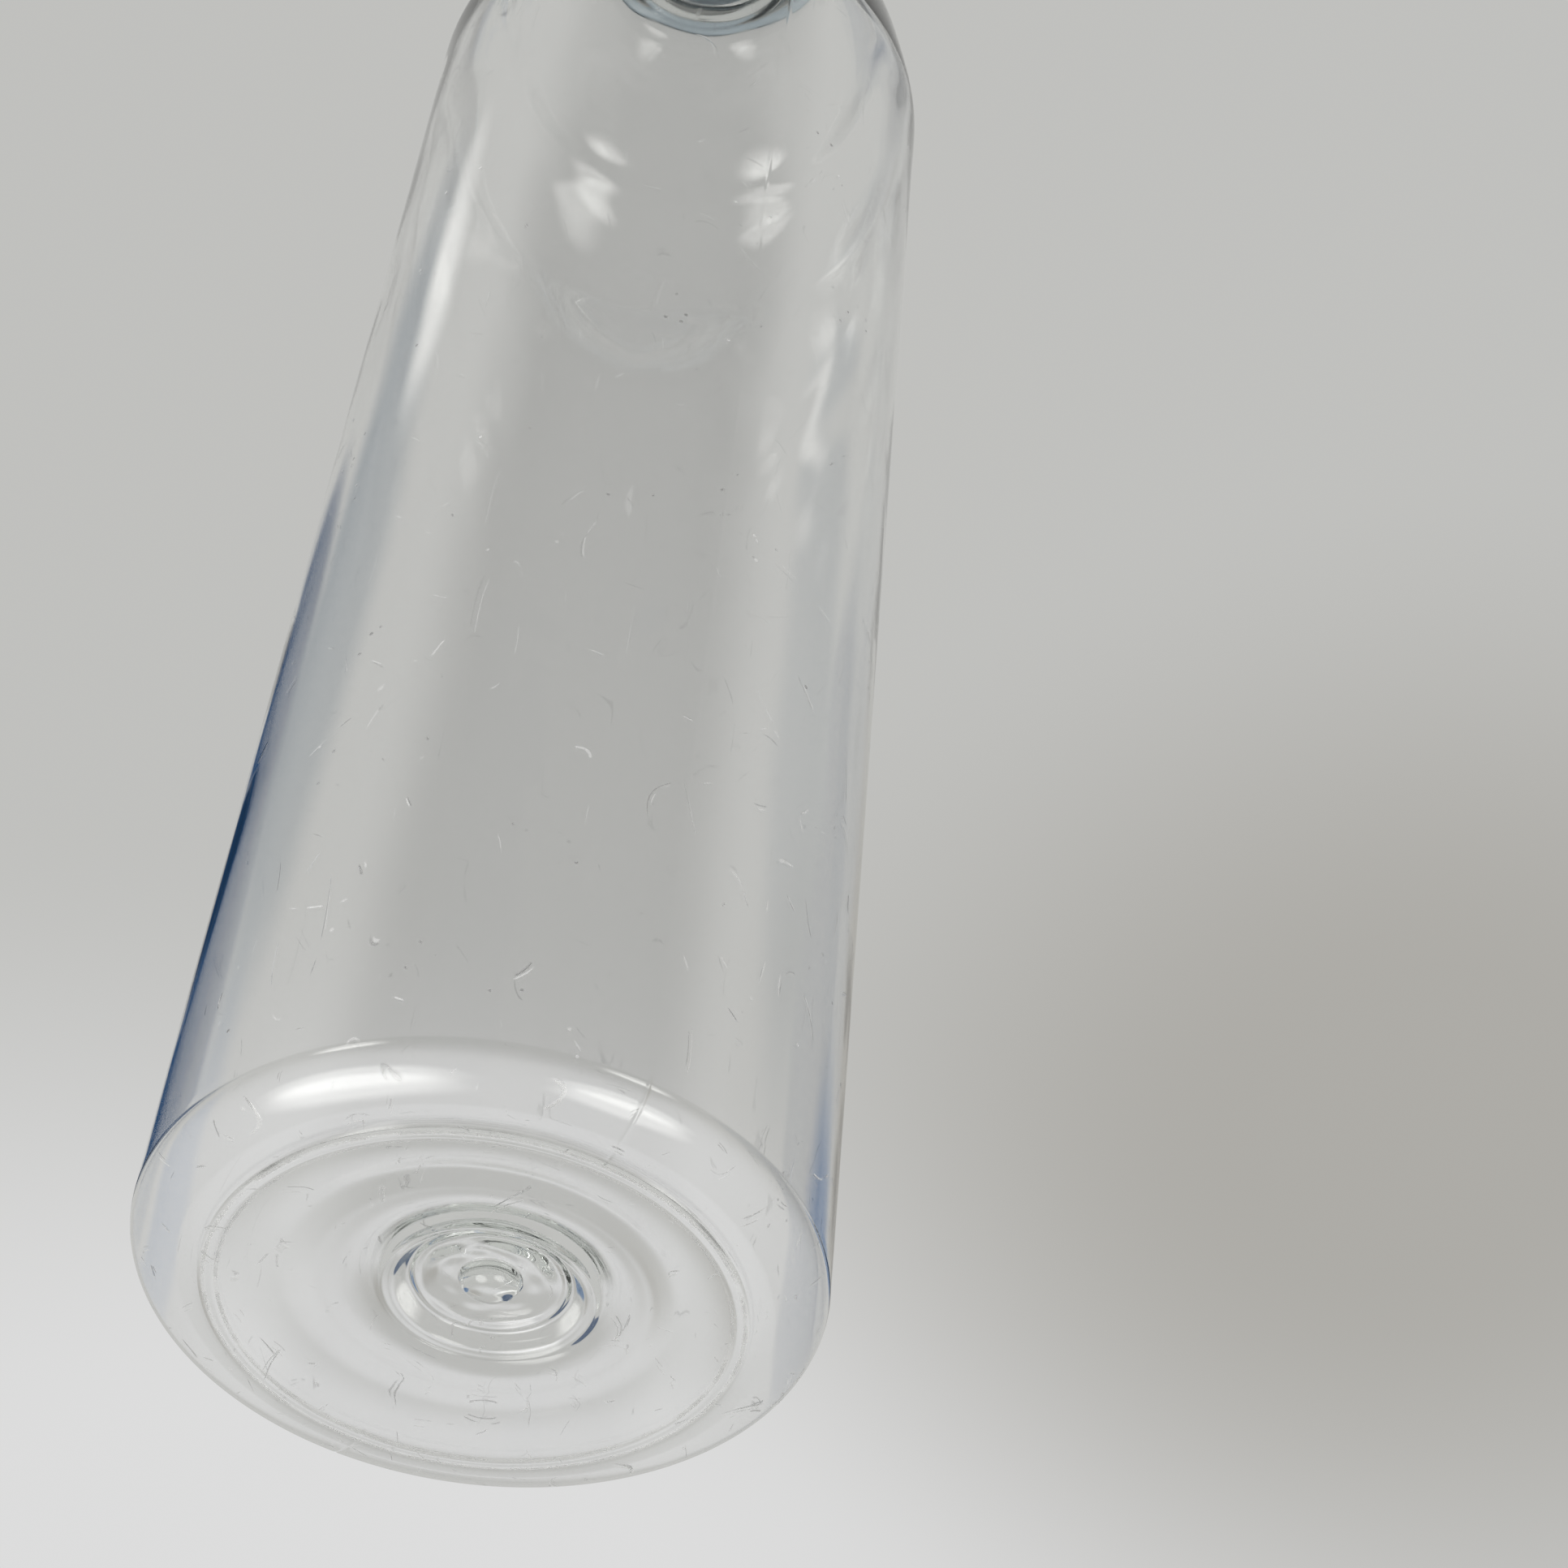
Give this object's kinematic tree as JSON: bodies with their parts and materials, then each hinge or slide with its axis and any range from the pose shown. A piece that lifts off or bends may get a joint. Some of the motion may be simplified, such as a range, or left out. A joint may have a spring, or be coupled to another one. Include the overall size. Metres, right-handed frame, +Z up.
{
  "type": "manual rain gauge",
  "caption": "Clear cylindrical collecting bottle with a threaded neck, a screw-on catching funnel with a knife-edged rim and a lift-out debris screen.",
  "frame": {"origin": "centre of the foot ring, in the plane that the bottle stands on", "axes": "+Z up along the bottle's axis, from the base to the funnel's rim; +X and +Y are square to it"},
  "size_m": [0.0624, 0.0624, 0.306],
  "materials": {
    "clear_pet": "clear blow-moulded PET, glossy, faintly blue in thick sections, fine scratches on the foot",
    "ring_plastic": "natural white polyethylene, satin",
    "washer_rubber": "black rubber, matt",
    "funnel_plastic": "pale blue-grey injection-moulded polypropylene, fine satin texture",
    "screen_plastic": "blue-grey moulded polypropylene, satin"
  },
  "bodies": {
    "bottle": {"bottle": "clear_pet", "tamper_ring": "ring_plastic"},
    "washer": {"sealing_washer": "washer_rubber"},
    "funnel": {"funnel": "funnel_plastic"},
    "screen": {"debris_screen": "screen_plastic"}
  },
  "joints": [
    {"name": "funnel_lift", "type": "slide", "parent": "bottle", "child": "washer", "axis": [0, 0, 1], "range_m": [0, 0.0054]},
    {"name": "funnel_turn", "type": "hinge", "parent": "washer", "child": "funnel", "pos_m": [0, 0, 0.25], "axis": [0, 0, 1], "range_deg": [-1, 721]},
    {"name": "screen_lift", "type": "slide", "parent": "funnel", "child": "screen", "axis": [0, 0, 1], "range_m": [0, 0.04]}
  ],
  "couplings": [
    {"joint": "funnel_turn", "follows": "funnel_lift", "rad_per_m": 2327.1}
  ]
}
